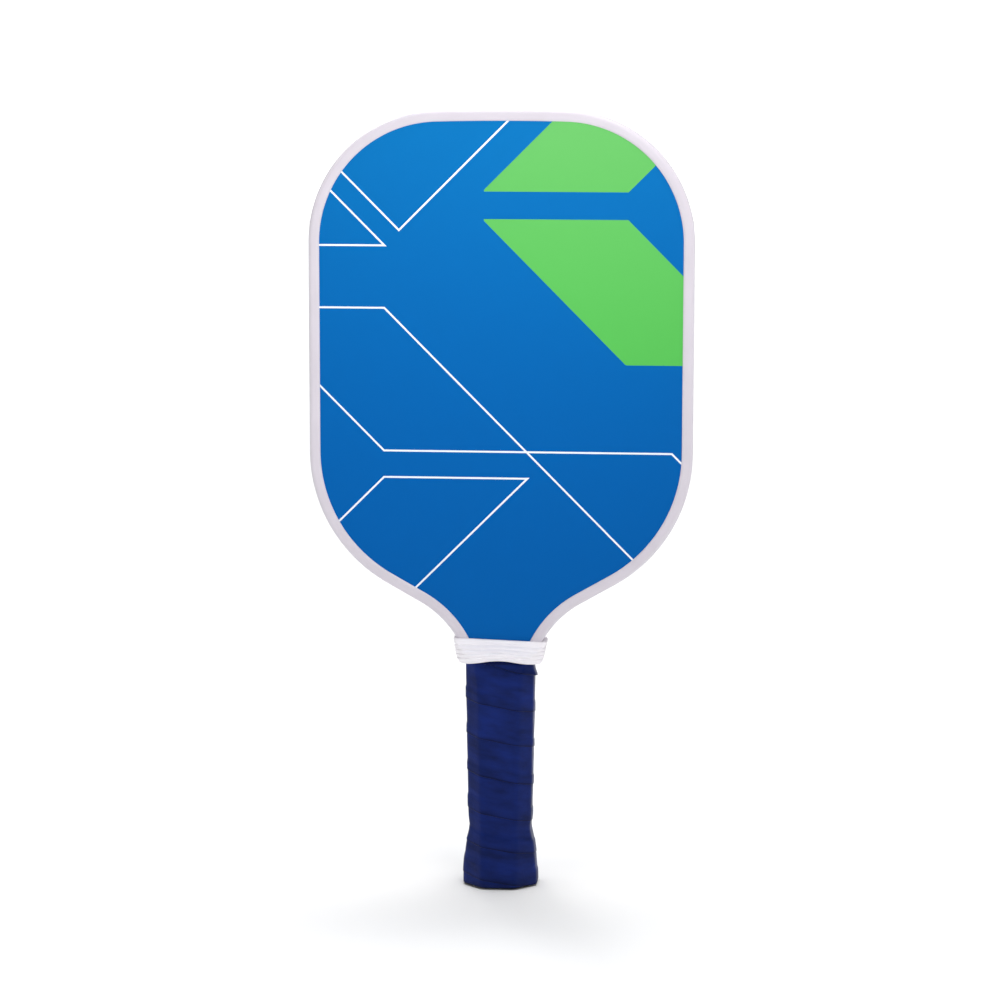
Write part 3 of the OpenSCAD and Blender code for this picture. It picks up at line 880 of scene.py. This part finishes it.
def plug_rings(around):
    """A turned disc: its profile of (radius, height) pairs carried round the axis. It has a
    rounded edge, a sunken ring and a low bead round its middle."""
    low, high = plug_low[2], plug_high[2]
    profile = [
        (1.2, high), (PLUG_R, high),
        (PLUG_R, low + 0.25), (PLUG_R - 0.25, low), (PLUG_R - 2.2, low), (PLUG_R - 2.5, low + 0.25),
        (PLUG_R - 2.6, low + 0.4), (5.2, low + 0.4),
        (5.0, low + 0.2), (4.4, low + 0.2), (4.2, low + 0.4), (1.2, low + 0.4),
    ]
    angle = np.linspace(0, 2 * math.pi, around, endpoint=False)
    return np.array([around_axis(angle, np.full(around, r), np.full(around, z)) for r, z in profile])


def butt():
    """The flared cap, hollow from its top, and the disc in its recess."""
    rings = cap_rings(around=256)
    make_piece("butt_cap_shell", rings, tube_faces(*rings.shape[:2]), CAP, ["butt_cap"])
    rings = plug_rings(around=128)
    make_piece("butt_cap_disc", rings, tube_faces(*rings.shape[:2]), PLUG, ["butt_cap_plug"])


edge_guard()
printed_pattern()
grip()
finishing_tape()
collar()
butt()

# ---------------------------------------------------------------------------
# Set, lights and camera
# ---------------------------------------------------------------------------

# The set is in metres
SET_R = 12.0
SET_FACETS = 96
WALL_HEIGHT = 3.0
WALL_GLOW = 0.55
SKY_GLOW = 0.1
CEILING_PLACE = (0.0, 0.22, 2.0)
CEILING_POWER = 3.3
CEILING_ANGLE = math.radians(52)
SOFTBOX_SIZE = (0.35, 0.3)
SOFTBOX_SPREAD = math.radians(30)
SOFTBOX_POWER = 0.3
FRONT_KEY = (0.35, -0.85, 0.85)
BACK_KEY = (-0.35, 0.85, 0.85)
CROWN = (0.0, 0.0, 0.37)
CAMERA = (0.1019, -1.4309, 0.3871)
AIM = (-0.0006, 0.0, 0.2022)
CAMERA_ROLL = math.radians(0.086)
LENS = 100.8                           # millimetres, on a sensor 36 mm wide


def plain_material(name, code, glow=0.0):
    """Matt paint without any sheen, which can glow to light the set."""
    return new_material(name, {
        "Base Color": colour(code),
        "Roughness": 0.9,
        "Specular IOR Level": 0.0,
        "Emission Color": colour("ffffff"),
        "Emission Strength": glow,
    })[0]


def stage_piece(name, rings, faces, material):
    """A part of the set, which belongs to no body."""
    mesh = bpy.data.meshes.new(name)
    mesh.from_pydata(rings.reshape(-1, 3).tolist(), [], faces)
    mesh.materials.append(material)
    piece = bpy.data.objects.new(name, mesh)
    bpy.context.scene.collection.objects.link(piece)


def studio():
    """A round white floor, and a lit white wall round it that closes the horizon."""
    angle = np.linspace(0, 2 * math.pi, SET_FACETS, endpoint=False)
    foot = around_axis(angle, np.full(SET_FACETS, SET_R), np.zeros(SET_FACETS))
    head = foot + [0, 0, WALL_HEIGHT]
    stage_piece("floor", foot, [list(range(SET_FACETS))], plain_material("white floor paint", "f4f4f4"))
    wall = np.stack([foot, head])
    faces = [face[::-1] for face in quads(2, SET_FACETS, closed_columns=True)]
    stage_piece("wall", wall, faces, plain_material("lit white wall", "f4f4f4", WALL_GLOW))
    world = bpy.data.worlds.new("studio")
    world.use_nodes = True
    background = world.node_tree.nodes["Background"]
    background.inputs["Color"].default_value = colour("ffffff")
    background.inputs["Strength"].default_value = SKY_GLOW
    bpy.context.scene.world = world


def aimed(name, data, place, target):
    """An object at a place in metres that looks at a target, with Z up."""
    thing = bpy.data.objects.new(name, data)
    bpy.context.scene.collection.objects.link(thing)
    thing.location = place
    thing.rotation_euler = (Vector(target) - Vector(place)).to_track_quat("-Z", "Y").to_euler()
    return thing


def softbox(name, place):
    """A rectangular light with a grid that narrows its beam, aimed at the crown."""
    data = bpy.data.lights.new(name, "AREA")
    data.shape = "RECTANGLE"
    data.size, data.size_y = SOFTBOX_SIZE
    data.energy = SOFTBOX_POWER
    data.spread = SOFTBOX_SPREAD
    aimed(name, data, place, CROWN)


def lights():
    """A wide bright ceiling a little behind the paddle, and a softbox before either face, so that
    both faces fall off softly from the crown towards the handle."""
    sun = bpy.data.lights.new("ceiling", "SUN")
    sun.energy = CEILING_POWER
    sun.angle = CEILING_ANGLE
    aimed("ceiling", sun, CEILING_PLACE, (0.0, 0.0, 0.0))
    softbox("front_key", FRONT_KEY)
    softbox("back_key", BACK_KEY)


def camera():
    """A long lens a little to the right of the paddle's middle, looking slightly down."""
    data = bpy.data.cameras.new("camera")
    data.lens = LENS
    data.sensor_width = 36.0
    seen = aimed("camera", data, CAMERA, AIM)
    seen.rotation_euler = (
        seen.rotation_euler.to_matrix() @ Matrix.Rotation(CAMERA_ROLL, 3, "Z")
    ).to_euler()
    data.clip_start, data.clip_end = 0.05, 60.0
    bpy.context.scene.camera = seen


studio()
lights()
camera()
bpy.context.scene.view_settings.view_transform = "Standard"
